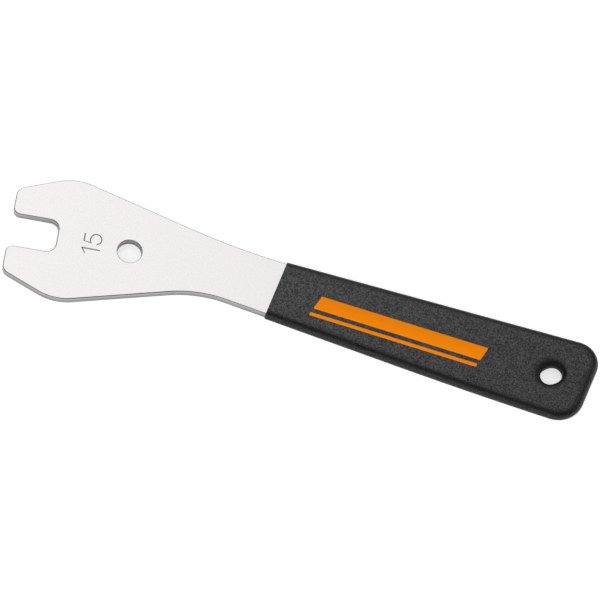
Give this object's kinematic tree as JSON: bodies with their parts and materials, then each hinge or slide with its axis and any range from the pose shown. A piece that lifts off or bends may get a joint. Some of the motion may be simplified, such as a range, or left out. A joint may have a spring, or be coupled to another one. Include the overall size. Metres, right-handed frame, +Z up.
{
  "type": "pedal wrench",
  "caption": "Flat open-ended wrench for bicycle pedals: a steel blade with an angled jaw and a hole behind it, and a black vinyl-dipped flared handle with a hanging hole.",
  "frame": {"origin": "middle of the wrench's length and width, on the surface that it lies on", "axes": "+X along the handle from the jaw to the hanging hole, +Z up out of the marked face"},
  "size_m": [0.2622, 0.0568, 0.0062],
  "materials": {
    "steel": "satin plated steel, edges broken",
    "vinyl": "fine-grained matt dipped vinyl"
  },
  "bodies": {
    "root": {"blade": "steel", "grip": "vinyl"}
  },
  "joints": []
}
